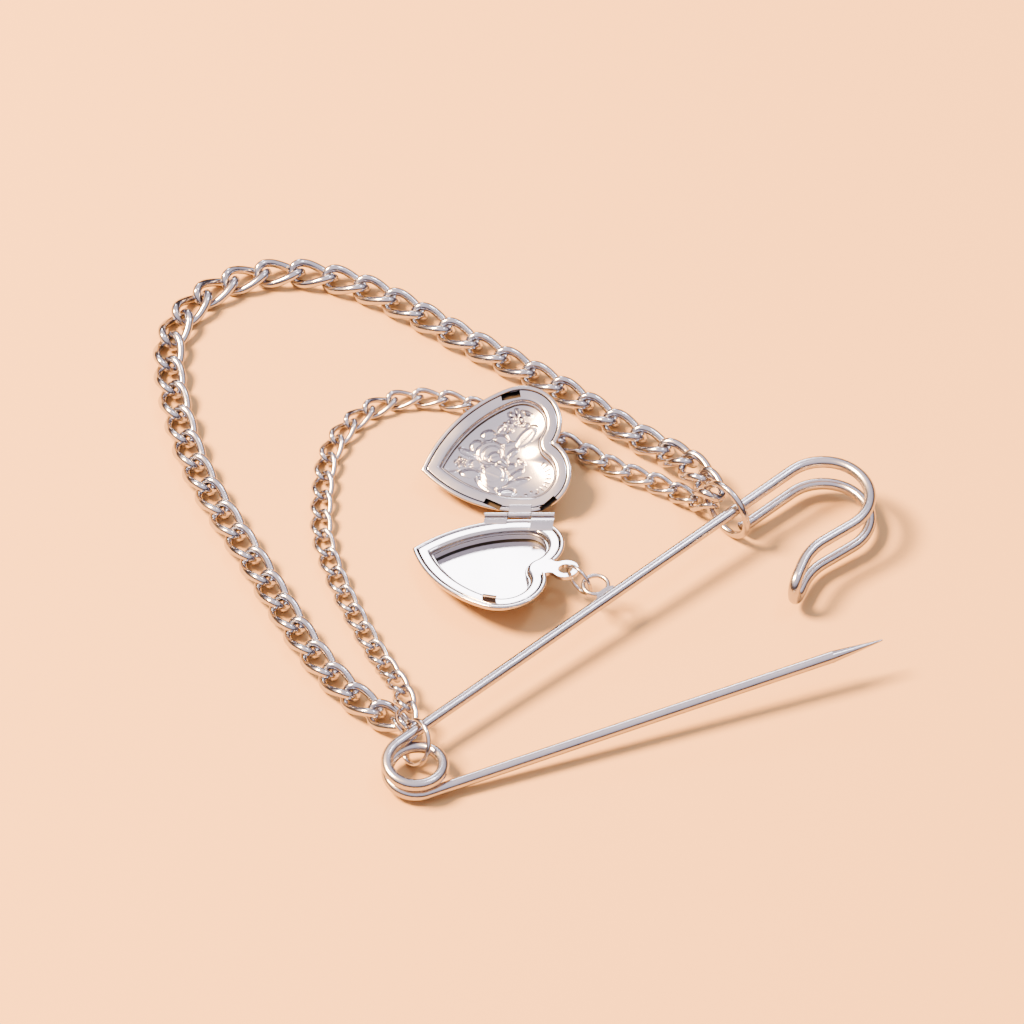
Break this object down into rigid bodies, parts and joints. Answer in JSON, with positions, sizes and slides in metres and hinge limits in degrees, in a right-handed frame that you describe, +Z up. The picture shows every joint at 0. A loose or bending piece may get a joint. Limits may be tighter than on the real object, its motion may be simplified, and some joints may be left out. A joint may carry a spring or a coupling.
{
  "type": "locket brooch",
  "caption": "Kilt-pin brooch bent from one steel wire, with curb chains hung between its coil and its hook, and an open heart locket on a ring at its bar.",
  "frame": {"origin": "bottom centre of the box round the whole brooch, on the surface it lies on; the middle of the pin's coil is at (-0.0363, -0.0301)", "axes": "+X along the bar from the coil to the hook head, +Y towards the chains, +Z up"},
  "size_m": [0.0814, 0.1122, 0.0089],
  "materials": {
    "pin_wire": "polished plating",
    "rings": "polished plating",
    "heavy_chain": "polished plating",
    "light_chain": "polished plating",
    "locket_shell": "polished plating",
    "locket_frame": "polished plating"
  },
  "bodies": {
    "brooch": {"pin_frame": "pin_wire", "coil_ring": "rings", "coil_link": "rings", "hook_ring": "rings", "locket_ring": "rings", "small_chain": "light_chain", "large_link_01": "heavy_chain", "large_link_02": "heavy_chain", "large_link_03": "heavy_chain", "large_link_04": "heavy_chain", "large_link_05": "heavy_chain", "large_link_06": "heavy_chain", "large_link_07": "heavy_chain", "large_link_08": "heavy_chain", "large_link_09": "heavy_chain", "large_link_10": "heavy_chain", "large_link_11": "heavy_chain", "large_link_12": "heavy_chain", "large_link_13": "heavy_chain", "large_link_14": "heavy_chain", "large_link_15": "heavy_chain", "large_link_16": "heavy_chain", "large_link_17": "heavy_chain", "large_link_18": "heavy_chain", "large_link_19": "heavy_chain", "large_link_20": "heavy_chain", "large_link_21": "heavy_chain", "large_link_22": "heavy_chain", "large_link_23": "heavy_chain", "large_link_24": "heavy_chain", "large_link_25": "heavy_chain", "large_link_26": "heavy_chain", "large_link_27": "heavy_chain", "large_link_28": "heavy_chain", "large_link_29": "heavy_chain", "large_link_30": "heavy_chain", "large_link_31": "heavy_chain", "large_link_32": "heavy_chain", "large_link_33": "heavy_chain", "large_link_34": "heavy_chain", "large_link_35": "heavy_chain", "large_link_36": "heavy_chain", "large_link_37": "heavy_chain", "large_link_38": "heavy_chain", "locket_back": "locket_shell", "locket_back_frame": "locket_frame", "locket_hinge_pin": "locket_frame"},
    "needle": {"pin_needle": "pin_wire"},
    "locket_cover": {"locket_cover": "locket_shell", "locket_cover_frame": "locket_frame"}
  },
  "joints": [
    {"name": "needle_swing", "type": "hinge", "parent": "brooch", "child": "needle", "pos_m": [-0.03629, -0.03006, 0.00402], "axis": [-0.0627, -0.1451, 0.9874], "range_deg": [0, 19], "stiffness_Nm_per_rad": 0.3},
    {"name": "locket_hinge", "type": "hinge", "parent": "brooch", "child": "locket_cover", "pos_m": [0.00409, -0.00612, 0.00262], "axis": [0.6785, -0.7276, 0.1011], "range_deg": [0, 153]}
  ]
}
